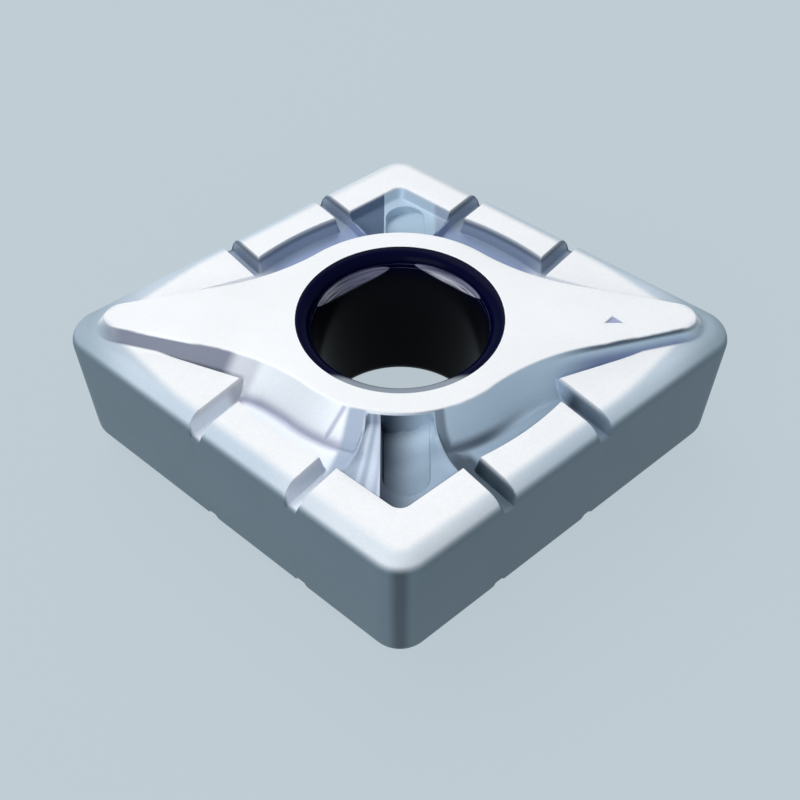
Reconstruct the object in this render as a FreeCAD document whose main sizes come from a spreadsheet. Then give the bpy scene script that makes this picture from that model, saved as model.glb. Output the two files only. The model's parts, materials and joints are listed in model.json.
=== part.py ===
import FreeCAD, Part
import math
import os
import Sketcher

# Double-sided 80 degree turning insert, pressed and sintered as one piece, in millimetres.
#
# The insert lies flat with the long diagonal along X, so the sharp corners point to +X and -X and
# the blunt corners to +Y and -Y. The origin is the middle of the underside. The upper half is
# drawn about the middle plane, mirrored to give the same face below, and bored through.
#
# Each face has an eye-shaped plateau, a ring round the bore with a tongue towards each sharp
# corner, that stands above a moulded groove. The rim outside the groove is cut by two notches a
# side, which leave a middle land on each edge and an angled land round each corner.

SIZES = {
    "inscribed_circle": 15.875,  # circle that touches all four flanks
    "corner_angle": 80,  # at the two sharp corners, in degrees
    "nose_radius": 1.2,  # of all four corners, seen from above
    "thickness": 6.35,  # from plateau to plateau
    "bore_diameter": 6.35,  # clamping hole
    "bore_rounding": 0.5,  # radius where the bore meets a plateau
    "rim_drop": 0.45,  # from a plateau down to the top of the rim
    "shoulder_radius": 0.68,  # where the rim turns over into the flank
    "ring_diameter": 9.0,  # outside of the ring round the bore
    "tongue_angle": 15,  # of a tongue's side to the long diagonal, in degrees
    "tongue_tip_radius": 0.6,  # rounded end of a tongue
    "tongue_blend_radius": 8.0,  # hollow curve from the ring into a tongue
    "tongue_wall": 0.13,  # left between a tongue's foot and the flanks
    "plateau_runout": 0.95,  # width of the plateau's slope, seen from above
    "groove_depth": 1.15,  # from a plateau down to the floor behind a middle land
    "pocket_depth": 0.85,  # from a plateau down to the floor inside a blunt corner
    "pocket_draft": 25,  # lean of that pocket's walls, in degrees
    "corner_land_width": 1.78,  # rim at the blunt corners, from edge to groove
    "pocket_apex_radius": 0.45,  # inside curve of that rim at the corner
    "groove_start": 0.16,  # from a tongue's tip to the groove's edge beside it
    "groove_flare": 7,  # how fast the groove widens away from a tongue's tip, in degrees
    "middle_land_width": 1.75,  # rim between the notches, from edge to groove at its two ends
    "middle_land_hollow": 0.15,  # how far that land's inner side curves towards the edge
    "notch_width": 0.72,  # across a notch, at the top of the rim
    "notch_draft": 12,  # lean of a notch's walls, in degrees
    "notch_spacing": 4.35,  # between the two notches of a side
    "notch_shift": 1.455,  # of the pair, from the middle of the side to the blunt corner
    "throat_width": 2.2,  # between two grooves at the ring, where a corner pocket begins
    "channel_width": 1.64,  # radial channel from the ring to a blunt corner
    "channel_shift": 0.2,  # of the channel to the right of the short diagonal
    "channel_depth": 1.25,  # from a plateau down to the channel's floor
    "channel_start": 0.06,  # left of the plateau's slope at the ring
    "channel_clearance": 0.3,  # from the channel's round end to the rim round it
    "mark_width": 0.76,  # base of the three-sided position mark
    "mark_height": 0.4,  # base to point of that mark
    "mark_depth": 0.07,  # below the plateau
    "mark_place": 7.45,  # of the mark, from the bore's axis
}

# A cut that must come out past a face runs this far beyond it.
PAST = 1.0

# Lengths that differ by less than this are the same.
CLOSE = 1e-6

os.makedirs("parts", exist_ok=True)
doc = FreeCAD.newDocument("carbide_insert")
sizes = doc.addObject("Spreadsheet::Sheet", "sizes")
for row, (alias, number) in enumerate(SIZES.items(), start=1):
    sizes.set(f"A{row}", alias)
    sizes.set(f"B{row}", str(number))
    sizes.setAlias(f"B{row}", alias)
doc.recompute()

body = doc.addObject("PartDesign::Body", "insert_body")
body.Label = "insert_body"
origin_planes = {plane.Role: plane for plane in body.Origin.OriginFeatures}


# Formulas over the sheet, as text, so that a sketch is drawn from and bound to the same words

HALF = "sizes.corner_angle / 2"
SHARP = f"(sizes.inscribed_circle / 2 / sin({HALF}))"
BLUNT = f"(sizes.inscribed_circle / 2 / cos({HALF}))"
SIDE = "(sizes.inscribed_circle / sin(sizes.corner_angle))"
TOP = "sizes.thickness / 2"
RIM_TOP = f"{TOP} - sizes.rim_drop"
INNER_NOTCH = f"({SIDE} / 2 - sizes.notch_shift - sizes.notch_spacing / 2)"
OUTER_NOTCH = f"({SIDE} / 2 - sizes.notch_shift + sizes.notch_spacing / 2)"
TIP_CENTRE = (
    f"({SHARP} - (sizes.tongue_tip_radius + sizes.plateau_runout + sizes.tongue_wall)"
    f" / sin({HALF}))"
)


def measure(formula):
    """The number that a formula over the sheet gives."""
    return float(sizes.evalExpression(formula))


def from_edge(along, inward):
    """A point by its distance along the front right edge from the blunt corner, and in from it."""
    across = f"({along}) * cos({HALF}) - ({inward}) * sin({HALF})"
    back = f"({along}) * sin({HALF}) + ({inward}) * cos({HALF}) - {BLUNT}"
    return across, back


def mirrored(point, flip_x, flip_y):
    """A formula point carried over to another quarter of the face."""
    across = f"-({point[0]})" if flip_x else point[0]
    back = f"-({point[1]})" if flip_y else point[1]
    return across, back


# Sketches

def new_sketch(name, level):
    """A sketch that lies flat at a level above the middle plane."""
    sketch = body.newObject("Sketcher::SketchObject", name)
    sketch.AttachmentSupport = (origin_planes["XY_Plane"], "")
    sketch.MapMode = "FlatFace"
    sketch.setExpression("AttachmentOffset.Base.z", level)
    return sketch


def bind(sketch, constraint, formula):
    """Adds a dimension to a sketch and ties it to a formula."""
    index = sketch.addConstraint(constraint)
    sketch.setExpression(f"Constraints[{index}]", formula)


def arc_between(start, end, radius, turns_left):
    """The shorter arc of a radius from one point to another."""
    chord = end - start
    side = FreeCAD.Vector(-chord.y, chord.x, 0).normalize()
    if not turns_left:
        side = -side
    reach = math.sqrt(radius ** 2 - (chord.Length / 2) ** 2)
    centre = start + chord / 2 + side * reach
    bulge = centre - side * radius
    return Part.Arc(start, bulge, end)


def draw_outline(sketch, corners, arcs=None):
    """Closes a ring of formula points with lines, and with arcs where a radius is given.

    arcs maps the index of a corner to the radius formula of the arc that leaves it, and whether
    that arc turns left.
    """
    arcs = arcs or {}
    points = [FreeCAD.Vector(measure(across), measure(back), 0) for across, back in corners]
    starts = []
    ends = []
    for index, start in enumerate(points):
        end = points[(index + 1) % len(points)]
        if index in arcs:
            formula, turns_left = arcs[index]
            edge = sketch.addGeometry(arc_between(start, end, measure(formula), turns_left))
            bind(sketch, Sketcher.Constraint("Radius", edge, measure(formula)), formula)
        else:
            edge = sketch.addGeometry(Part.LineSegment(start, end))
        first = 1 if sketch.getPoint(edge, 1).distanceToPoint(start) < CLOSE else 2
        starts.append((edge, first))
        ends.append((edge, 3 - first))
    for index, (across, back) in enumerate(corners):
        edge, place = starts[index]
        sketch.addConstraint(Sketcher.Constraint("Coincident", *ends[index - 1], edge, place))
        bind(sketch, Sketcher.Constraint("DistanceX", edge, place, points[index].x), across)
        bind(sketch, Sketcher.Constraint("DistanceY", edge, place, points[index].y), back)


# Features

def pad(name, sketch, length, lean=None, downwards=False):
    """Raises a sketch into a solid, with walls that may lean outwards."""
    feature = body.newObject("PartDesign::Pad", name)
    feature.Profile = sketch
    feature.Reversed = downwards
    feature.setExpression("Length", length)
    if lean:
        feature.setExpression("TaperAngle", lean)
    return recompute(feature)


def pocket(name, sketch, depth, lean=None):
    """Cuts down from a sketch, with walls that may lean inwards, and makes sure that it cut."""
    volume = body.Shape.Volume
    feature = body.newObject("PartDesign::Pocket", name)
    feature.Profile = sketch
    feature.setExpression("Length", depth)
    if lean:
        feature.setExpression("TaperAngle", lean)
    recompute(feature)
    if body.Shape.Volume >= volume:
        raise RuntimeError(f"{name} cuts nothing")
    return feature


def recompute(feature):
    """Brings the body up to a new feature and makes sure that it has a shape."""
    doc.recompute()
    if feature.Shape.isNull() or not feature.Shape.isValid():
        raise RuntimeError(f"{feature.Name} has no valid shape")
    return feature


def on_four_sides(name, feature):
    """Repeats a feature of the front right quarter in the other three."""
    copies = body.newObject("PartDesign::MultiTransform", name)
    copies.Originals = [feature]
    left_right = body.newObject("PartDesign::Mirrored", f"{name}_left")
    left_right.MirrorPlane = (origin_planes["YZ_Plane"], [""])
    front_back = body.newObject("PartDesign::Mirrored", f"{name}_back")
    front_back.MirrorPlane = (origin_planes["XZ_Plane"], [""])
    copies.Transformations = [left_right, front_back]
    body.Tip = copies
    return recompute(copies)


def on_both_corners(name, feature):
    """Repeats a feature of the front blunt corner in the back one."""
    pair = body.newObject("PartDesign::Mirrored", name)
    pair.Originals = [feature]
    pair.MirrorPlane = (origin_planes["XZ_Plane"], [""])
    body.Tip = pair
    return recompute(pair)


def fillet(name, feature, chosen, radius):
    """Rounds the edges of a feature that a test picks out."""
    names = [f"Edge{n}" for n, edge in enumerate(feature.Shape.Edges, start=1) if chosen(edge)]
    rounding = body.newObject("PartDesign::Fillet", name)
    rounding.Base = (feature, names)
    rounding.setExpression("Radius", radius)
    return recompute(rounding)


# Blank: the rounded rhombus from the middle plane up to the top of the rim

sharp_start = (
    f"({SHARP} - sizes.nose_radius * cos({HALF}) / tan({HALF}))",
    f"-(sizes.nose_radius * cos({HALF}))",
)
blunt_start = (
    f"sizes.nose_radius * sin({HALF})",
    f"-({BLUNT} - sizes.nose_radius * sin({HALF}) * tan({HALF}))",
)
blank_outline = new_sketch("blank_outline", "0")
draw_outline(
    blank_outline,
    [
        sharp_start,
        mirrored(sharp_start, False, True),
        mirrored(blunt_start, False, True),
        mirrored(blunt_start, True, True),
        mirrored(sharp_start, True, True),
        mirrored(sharp_start, True, False),
        mirrored(blunt_start, True, False),
        blunt_start,
    ],
    {index: ("sizes.nose_radius", True) for index in (0, 2, 4, 6)},
)
blank = pad("blank", blank_outline, RIM_TOP)
rim_level = measure(RIM_TOP)
fillet(
    "shoulder",
    blank,
    lambda edge: all(abs(corner.Z - rim_level) < CLOSE for corner in edge.Vertexes),
    "sizes.shoulder_radius",
)


# Groove: a shallow pocket from tip to tip that widens into the two blunt corners

flare = "(sizes.tongue_angle + sizes.groove_flare)"
from_tip = "(sizes.tongue_tip_radius + sizes.groove_start)"
flare_start = (
    f"({TIP_CENTRE} + {from_tip} * sin({flare}))",
    f"-({from_tip} * cos({flare}))",
)
flare_run = (
    f"(({flare_start[0]} * cos({HALF}) + ({flare_start[1]} + {BLUNT}) * sin({HALF})"
    f" - {OUTER_NOTCH}) / cos({HALF} - {flare}))"
)
flare_end = (
    f"({flare_start[0]} - {flare_run} * cos({flare}))",
    f"({flare_start[1]} - {flare_run} * sin({flare}))",
)
land_end = from_edge(INNER_NOTCH, "sizes.corner_land_width")
apex_centre = f"({BLUNT} - (sizes.corner_land_width + sizes.pocket_apex_radius) / cos({HALF}))"
apex_start = (
    f"sizes.pocket_apex_radius * sin({HALF})",
    f"-({apex_centre} + sizes.pocket_apex_radius * cos({HALF}))",
)
quarter = [flare_start, flare_end, land_end, apex_start]
backward = list(reversed(quarter))
corner_pocket_outline = new_sketch("corner_pocket_outline", RIM_TOP)
draw_outline(
    corner_pocket_outline,
    quarter
    + [mirrored(point, True, False) for point in backward]
    + [mirrored(point, True, True) for point in quarter]
    + [mirrored(point, False, True) for point in backward],
    {
        3: ("sizes.pocket_apex_radius", False),
        11: ("sizes.pocket_apex_radius", False),
    },
)
pocket(
    "corner_pocket",
    corner_pocket_outline,
    "sizes.pocket_depth - sizes.rim_drop",
    "sizes.pocket_draft",
)


# Two notches and the deeper groove that joins them behind a middle land, on each side

half_notch = "sizes.notch_width / 2"
inner_near = f"({INNER_NOTCH} - {half_notch})"
inner_far = f"({INNER_NOTCH} + {half_notch})"
outer_near = f"({OUTER_NOTCH} - {half_notch})"
outer_far = f"({OUTER_NOTCH} + {half_notch})"
land_corner = from_edge(inner_near, "sizes.corner_land_width")
ring_foot = "(sizes.ring_diameter / 2 + sizes.channel_start)"
half_throat = "(sizes.throat_width / 2)"
throat_corner = (half_throat, f"-sqrt({ring_foot} ^ 2 - {half_throat} ^ 2)")
under_plateau = from_edge(outer_far, "sizes.corner_land_width + sizes.plateau_runout")
land_chord = "(sizes.notch_spacing - sizes.notch_width)"
land_curve = (
    f"({land_chord} ^ 2 / 8 / sizes.middle_land_hollow + sizes.middle_land_hollow / 2)"
)
edge_groove_outline = new_sketch("edge_groove_outline", RIM_TOP)
draw_outline(
    edge_groove_outline,
    [
        from_edge(inner_near, f"-{PAST}"),
        land_corner,
        throat_corner,
        under_plateau,
        from_edge(outer_far, f"-{PAST}"),
        from_edge(outer_near, f"-{PAST}"),
        from_edge(outer_near, "sizes.middle_land_width"),
        from_edge(inner_far, "sizes.middle_land_width"),
        from_edge(inner_far, f"-{PAST}"),
    ],
    {6: (land_curve, False)},
)
edge_groove = pocket(
    "edge_groove",
    edge_groove_outline,
    "sizes.groove_depth - sizes.rim_drop",
    "sizes.notch_draft",
)
on_four_sides("edge_grooves", edge_groove)


# Plateau: the ring and its two tongues, with a slope all round down to the deeper floor

blend_reach = (
    f"sqrt((sizes.ring_diameter / 2 + sizes.tongue_blend_radius) ^ 2"
    f" - (({TIP_CENTRE}) * sin(sizes.tongue_angle) + sizes.tongue_tip_radius"
    f" + sizes.tongue_blend_radius) ^ 2)"
)
tongue_offset = f"(({TIP_CENTRE}) * sin(sizes.tongue_angle) + sizes.tongue_tip_radius)"
tip_side = (
    f"({TIP_CENTRE} + sizes.tongue_tip_radius * sin(sizes.tongue_angle))",
    "-(sizes.tongue_tip_radius * cos(sizes.tongue_angle))",
)
tongue_start = (
    f"({tongue_offset} * sin(sizes.tongue_angle) + {blend_reach} * cos(sizes.tongue_angle))",
    f"({blend_reach} * sin(sizes.tongue_angle) - {tongue_offset} * cos(sizes.tongue_angle))",
)
blend_offset = f"({tongue_offset} + sizes.tongue_blend_radius)"
ring_share = "(sizes.ring_diameter / (sizes.ring_diameter + 2 * sizes.tongue_blend_radius))"
ring_end = (
    f"(({blend_offset} * sin(sizes.tongue_angle) + {blend_reach} * cos(sizes.tongue_angle))"
    f" * {ring_share})",
    f"(({blend_reach} * sin(sizes.tongue_angle) - {blend_offset} * cos(sizes.tongue_angle))"
    f" * {ring_share})",
)
quarter = [tip_side, tongue_start, ring_end]
backward = list(reversed(quarter))
plateau_outline = new_sketch("plateau_outline", TOP)
draw_outline(
    plateau_outline,
    quarter
    + [mirrored(point, True, False) for point in backward]
    + [mirrored(point, True, True) for point in quarter]
    + [mirrored(point, False, True) for point in backward],
    {
        1: ("sizes.tongue_blend_radius", True),
        2: ("sizes.ring_diameter / 2", False),
        3: ("sizes.tongue_blend_radius", True),
        5: ("sizes.tongue_tip_radius", False),
        7: ("sizes.tongue_blend_radius", True),
        8: ("sizes.ring_diameter / 2", False),
        9: ("sizes.tongue_blend_radius", True),
        11: ("sizes.tongue_tip_radius", False),
    },
)
pad(
    "plateau",
    plateau_outline,
    "sizes.groove_depth",
    "atan(sizes.plateau_runout / sizes.groove_depth)",
    downwards=True,
)


# Throat: the corner pocket's floor goes on up to the ring between the two grooves

throat_end = tuple(
    f"({start} + ({end} - {start}) / 2)" for start, end in zip(throat_corner, land_corner)
)
throat_outline = new_sketch("throat_outline", TOP)
draw_outline(
    throat_outline,
    [
        throat_corner,
        throat_end,
        mirrored(throat_end, True, False),
        mirrored(throat_corner, True, False),
    ],
    {3: (ring_foot, True)},
)
throat = pocket("throat", throat_outline, "sizes.pocket_depth")
on_both_corners("throats", throat)


# Channel: a radial way from the ring into each blunt corner, with a round end

half_channel = "sizes.channel_width / 2"
channel_right = f"(sizes.channel_shift + {half_channel})"
channel_left = f"(sizes.channel_shift - {half_channel})"
channel_end = (
    f"({BLUNT} - (sizes.corner_land_width + sizes.channel_clearance + {half_channel})"
    f" / cos({HALF}) - sizes.channel_shift * tan({HALF}))"
)
channel_outline = new_sketch("channel_outline", TOP)
draw_outline(
    channel_outline,
    [
        (channel_right, f"-sqrt({ring_foot} ^ 2 - {channel_right} ^ 2)"),
        (channel_right, f"-{channel_end}"),
        ("sizes.channel_shift", f"-({channel_end} + {half_channel})"),
        (channel_left, f"-{channel_end}"),
        (channel_left, f"-sqrt({ring_foot} ^ 2 - {channel_left} ^ 2)"),
    ],
    {1: (half_channel, False), 2: (half_channel, False), 4: (ring_foot, True)},
)
channel = pocket("channel", channel_outline, "sizes.channel_depth")
on_both_corners("channels", channel)


# Underside: the same face again, below the middle plane

both_faces = body.newObject("PartDesign::Mirrored", "both_faces")
both_faces.TransformMode = "Whole shape"
both_faces.MirrorPlane = (origin_planes["XY_Plane"], [""])
body.Tip = both_faces
recompute(both_faces)


# Bore, rounded at both ends

bore_outline = new_sketch("bore_outline", TOP)
bore_radius = "sizes.bore_diameter / 2"
circle = bore_outline.addGeometry(Part.Circle(FreeCAD.Vector(), FreeCAD.Vector(0, 0, 1), 1.0))
bore_outline.addConstraint(Sketcher.Constraint("Coincident", circle, 3, -1, 1))
bind(bore_outline, Sketcher.Constraint("Radius", circle, measure(bore_radius)), bore_radius)
bore = pocket("bore", bore_outline, "sizes.thickness")
top_level = measure(TOP)
fillet(
    "bore_mouths",
    bore,
    lambda edge: (
        edge.Curve.TypeId == "Part::GeomCircle"
        and abs(edge.Curve.Radius - measure(bore_radius)) < CLOSE
        and abs(abs(edge.Curve.Center.z) - top_level) < CLOSE
    ),
    "sizes.bore_rounding",
)


# Mark: a small three-sided dimple on the right tongue of the upper face

half_mark = "sizes.mark_width / 2"
mark_outline = new_sketch("mark_outline", TOP)
draw_outline(
    mark_outline,
    [
        (f"sizes.mark_place - {half_mark}", "-(sizes.mark_height)"),
        (f"sizes.mark_place + {half_mark}", "-(sizes.mark_height)"),
        ("sizes.mark_place", "0"),
    ],
)
pocket("mark", mark_outline, "sizes.mark_depth")


# The finished insert stands on the plateau of its underside

body.setExpression("Placement.Base.z", TOP)
doc.recompute()
for thing in doc.Objects:
    if "Invalid" in thing.State or "Error" in thing.State:
        raise RuntimeError(f"{thing.Name} did not build")
if body.Shape.isNull() or not body.Shape.isValid() or len(body.Shape.Solids) != 1:
    raise RuntimeError(f"{body.Label} is not one sound solid")
body.Shape.exportStep(f"parts/{body.Label}.step")
print(body.Label, round(body.Shape.Volume, 2), "cubic mm", len(body.Shape.Faces), "faces")
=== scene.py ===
import json
import math

import bmesh
import bpy
import numpy as np
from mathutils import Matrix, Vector
from mathutils.geometry import delaunay_2d_cdt


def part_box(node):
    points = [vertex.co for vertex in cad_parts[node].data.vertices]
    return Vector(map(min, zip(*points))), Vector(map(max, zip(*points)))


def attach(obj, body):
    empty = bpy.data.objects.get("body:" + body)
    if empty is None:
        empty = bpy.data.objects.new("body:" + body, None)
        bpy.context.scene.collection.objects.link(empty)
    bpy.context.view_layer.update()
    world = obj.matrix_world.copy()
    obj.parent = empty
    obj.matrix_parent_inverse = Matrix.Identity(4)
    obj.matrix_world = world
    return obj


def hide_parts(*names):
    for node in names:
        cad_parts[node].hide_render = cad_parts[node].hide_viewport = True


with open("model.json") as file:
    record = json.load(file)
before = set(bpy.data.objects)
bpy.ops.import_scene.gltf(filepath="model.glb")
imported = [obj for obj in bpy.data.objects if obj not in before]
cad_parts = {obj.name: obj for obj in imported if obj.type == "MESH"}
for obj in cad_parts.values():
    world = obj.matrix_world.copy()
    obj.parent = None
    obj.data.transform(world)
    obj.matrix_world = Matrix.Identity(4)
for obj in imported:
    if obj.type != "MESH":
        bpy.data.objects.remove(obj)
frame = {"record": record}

bl_info = {
    "name": "Rhombic turning insert",
    "version": (1, 0, 0),
    "blender": (4, 5, 0),
    "location": "3D View > Sidebar > Insert",
    "description": "Moulds a double-sided turning insert from its sizes, in a plain studio",
    "category": "Object",
}

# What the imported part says: its box, its bore and one of its flanks
MM = 0.001
NODE = "insert_body"
LOWEST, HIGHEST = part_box(NODE)
MOUNTS = {mount["name"]: mount for mount in frame["record"]["mounts"]}
FLANK = MOUNTS["flank_front_right"]
THICKNESS = HIGHEST.z - LOWEST.z
HALF_CORNER = math.atan2(FLANK["axis"][0], -FLANK["axis"][1])
SINE, COSINE = math.sin(HALF_CORNER), math.cos(HALF_CORNER)
INSCRIBED_RADIUS = math.hypot(*FLANK["pos_m"][:2])
SHARP = INSCRIBED_RADIUS / SINE
BLUNT = INSCRIBED_RADIUS / COSINE
HALF_SIDE = math.hypot(SHARP, BLUNT) / 2
NOSE_RADIUS = (SHARP - HIGHEST.x) / (1 / SINE - 1)
BORE_RADIUS = MOUNTS["clamp_bore"]["dims"]["r_mm"] * MM
BORE_ROUNDING = (THICKNESS - MOUNTS["clamp_bore"]["dims"]["length_mm"] * MM) / 2

# How finely the plan is drawn
ALONG = 0.11 * MM  # between points along an outline
FILL = 0.22 * MM  # between points on open ground
FINE = 0.03 * MM  # between rows where a surface turns
SHOULDER_ROWS = 10  # across a rounded edge
FAN_STEP = math.radians(12)  # between points round an outline's corner
FAR = 1.0  # past every point of the plan
AT_ONCE = 2000  # places measured together
TINY = 1e-7

# Rise over run where a side has no draft angle
UPRIGHT = 12.0  # sides of the throat and of the channel
REACH_END = 10.0  # where the throat's fall ends
MARK_SIDE = 2.0  # sides of the position mark

CRISP = math.radians(38)  # edges sharper than this are not shaded round

# The stage's lamps and floor, in metres
PANELS = {
    "overhead": {"place": (-0.03, 0.05, 0.12), "size": (0.12, 0.08)},
    "left_front": {"place": (-0.06, -0.11, 0.07), "size": (0.1, 0.08)},
}
FLOOR_REACH = 0.6


def level(name, default, description, **settings):
    """A number that a user can change."""
    settings = {"min": 0, **settings}
    return bpy.props.FloatProperty(
        name=name, default=default, description=description, **settings
    )


def length(name, millimetres, description):
    """A size that a user can change, in Blender's own length unit."""
    return level(name, millimetres * MM, description, unit="LENGTH", precision=5)


def angle(name, degrees, description):
    """An angle that a user can change."""
    return level(name, math.radians(degrees), description, unit="ROTATION")


def share(name, default, description):
    """A part of one that a user can change."""
    return level(name, default, description, subtype="FACTOR", max=1)


def colour(name, default, description):
    """A colour that a user can change, in linear light."""
    return bpy.props.FloatVectorProperty(
        name=name, default=default, description=description, subtype="COLOR", size=3, min=0, max=1
    )


class InsertSizes(bpy.types.PropertyGroup):
    """Sizes of the moulded face."""

    rim_drop: length("Rim Drop", 0.45, "From a plateau down to the top of the rim")
    shoulder: length("Shoulder", 0.68, "Radius where the rim turns over into the flank")
    ring_radius: length("Ring Radius", 4.5, "Outside of the ring round the bore")
    tongue_angle: angle("Tongue Angle", 15, "Of a tongue's side to the long diagonal")
    tongue_tip: length("Tongue Tip", 0.6, "Radius of a tongue's end")
    tongue_blend: length("Tongue Blend", 8.0, "Hollow curve from the ring into a tongue")
    tongue_wall: length("Tongue Wall", 0.13, "Left between a tongue's foot and the flanks")
    runout: length("Runout", 0.95, "Width of the plateau's slope, seen from above")
    groove_depth: length("Groove Depth", 1.15, "From a plateau down behind a middle land")
    groove_draft: angle("Groove Draft", 12, "Lean of a groove's and a notch's walls")
    pocket_depth: length("Pocket Depth", 0.85, "From a plateau down inside a blunt corner")
    pocket_draft: angle("Pocket Draft", 25, "Lean of the corner pocket's walls")
    corner_land: length("Corner Land", 1.78, "Rim at the blunt corners, edge to groove")
    pocket_apex: length("Pocket Apex", 0.45, "Inside curve of that rim at the corner")
    groove_start: length("Groove Start", 0.16, "From a tongue's tip to the groove beside it")
    groove_flare: angle("Groove Flare", 7, "How fast the groove widens from a tongue's tip")
    middle_land: length("Middle Land", 1.75, "Rim between the notches, edge to groove")
    land_hollow: length("Land Hollow", 0.15, "How far that land's inner side curves out")
    notch_width: length("Notch Width", 0.72, "Across a notch at the top of the rim")
    notch_spacing: length("Notch Spacing", 4.35, "Between the two notches of a side")
    notch_shift: length("Notch Shift", 1.455, "Of the pair, towards the blunt corner")
    throat_width: length("Throat Width", 2.2, "Of the corner pocket where it meets the ring")
    throat_sweep: length("Throat Sweep", 4.0, "Curve of its sides from the ring to the rim")
    throat_step: length("Throat Step", 0.45, "Drop from the plateau to its floor at the ring")
    throat_fall: share("Throat Fall", 0.27, "How steeply that floor sinks away from the ring")
    throat_reach: length("Throat Reach", 2.4, "From the short diagonal to where that fall ends")
    channel_width: length("Channel Width", 1.64, "Radial channel into a blunt corner")
    channel_shift: length("Channel Shift", 0.2, "To the right of the short diagonal")
    channel_depth: length("Channel Depth", 1.25, "From a plateau down to its lowest line")
    channel_bow: length("Channel Bow", 0.12, "Rise of its hollow floor over half its width")
    channel_lean: share("Channel Lean", 0.8, "How far its lowest line lies to the left")
    channel_start: length("Channel Start", 0.06, "Left of the plateau's slope at the ring")
    channel_clearance: length("Channel Clearance", 0.3, "From its round end to the rim")
    mark_width: length("Mark Width", 0.76, "Base of the three-sided position mark")
    mark_height: length("Mark Height", 0.4, "Base to point of that mark")
    mark_depth: length("Mark Depth", 0.07, "Below the plateau")
    mark_place: length("Mark Place", 7.45, "Of the mark from the bore's axis")
    hone: length("Hone", 0.06, "Height over which a pressed edge is blended")
    root: length("Root", 0.16, "Height over which a valley is blended")


class InsertFinish(bpy.types.PropertyGroup):
    """Colours and gloss of the carbide, and the colours of its painted shade and painted
    highlights.
    """

    land_colour: colour("Lands", (0.885, 0.885, 0.88), "Ground plateau and blasted rim")
    worn_colour: colour("Worn Edges", (0.93, 0.94, 0.95), "Bare metal along the pressed edges")
    # Grooves: the right-hand colour is painted shade, a darker copy of the left-hand one
    groove_colour: colour("Grooves", (0.8, 0.82, 0.86), "Chip grooves, on the left")
    groove_painted_shade: colour("Groove Shade", (0.45, 0.57, 0.68), "Chip grooves, on the right")
    # Painted shade in the far grooves
    far_groove_painted_shade: colour("Back Grooves", (0.28, 0.35, 0.52), "Thin blue coating in the far grooves")
    # Wedges beside the tongues: painted shade on both sides
    wedge_painted_shade_left: colour("Wedges", (0.18, 0.195, 0.25), "Grooves beside a tongue, on the left")
    wedge_painted_shade_right: colour("Wedge Shade", (0.16, 0.21, 0.35), "Grooves beside a tongue, on the right")
    # Creases: painted shade, lighter on the left and darker on the right
    left_crease_painted_shade: colour("Creases", (0.4, 0.41, 0.52), "Foot of the plateau's slope, on the left")
    crease_painted_shade: colour("Crease Shade", (0.1, 0.14, 0.19), "The same, on the right")
    # Throat: the left colour is the lit copy, the others are painted shade; the flow lines' colour
    # also paints shade in the far throat, and the trough's colour paints shade at the foot of the
    # channel's wall and in the right creases and notches
    throat_colour: colour("Throat", (0.55, 0.6, 0.7), "Corner pocket left of its channel's wall")
    flow_lines_and_painted_shade: colour("Flow Lines", (0.33, 0.39, 0.49), "Streaks in it from pressing")
    throat_painted_shade: colour("Throat Shade", (0.27, 0.35, 0.44), "Corner pocket right of that wall")
    far_throat_painted_shade: colour("Back Throat", (0.085, 0.13, 0.215), "Far corner pocket left of that wall")
    trough_painted_shade: colour("Trough", (0.012, 0.025, 0.05), "Thick coating at the foot of that wall")
    # Notches: painted shade on the right, painted light on the left
    notch_painted_shade: colour("Notches", (0.1, 0.145, 0.18), "Thick coating in a notch, on the right")
    notch_painted_light: colour("Light Notches", (0.76, 0.8, 0.86), "Thin coating in a notch, on the left")
    # Painted shade in the far notches
    far_notch_painted_shade: colour("Back Notches", (0.32, 0.38, 0.48), "Thin coating in the far notches")
    # Shoulders: painted shade where the rim turns over, darker at the sharp corners
    shoulder_painted_shade: colour("Shoulder", (0.54, 0.62, 0.69), "Where the rim turns over")
    tip_painted_shade: colour("Tips", (0.32, 0.4, 0.46), "The same at the sharp corners")
    # Flanks: painted shade, dark for the dark that they reflect, with a darker painted line down
    # the blunt corners
    flank_painted_shade: colour("Flanks", (0.14, 0.19, 0.225), "Dark coated flanks")
    nose_painted_shade: colour("Nose", (0.06, 0.085, 0.105), "Darker line down a blunt corner")
    bore_colour: colour("Bore", (0.004, 0.0045, 0.0065), "Glossy coated bore")
    mouth_colour: colour("Bore Mouth", (0.001, 0.0015, 0.018), "Blue-black coating below the mouth")
    # Painted sheen at the front of the bore's mouth
    mouth_painted_sheen: colour("Rest", (0.27, 0.31, 0.35), "Where a clamp rests on the front of the mouth")
    # Painted highlights in the bore, standing in for reflections
    bore_painted_sheen: colour("Rub", (0.3, 0.31, 0.45), "Where a clamping pin rubs the bore")
    bore_painted_highlight: colour("Bright Rub", (0.85, 0.87, 0.95), "Where it has rubbed the coating off")
    mark_colour: colour("Mark", (0.36, 0.39, 0.56), "Residue in the position mark")


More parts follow.
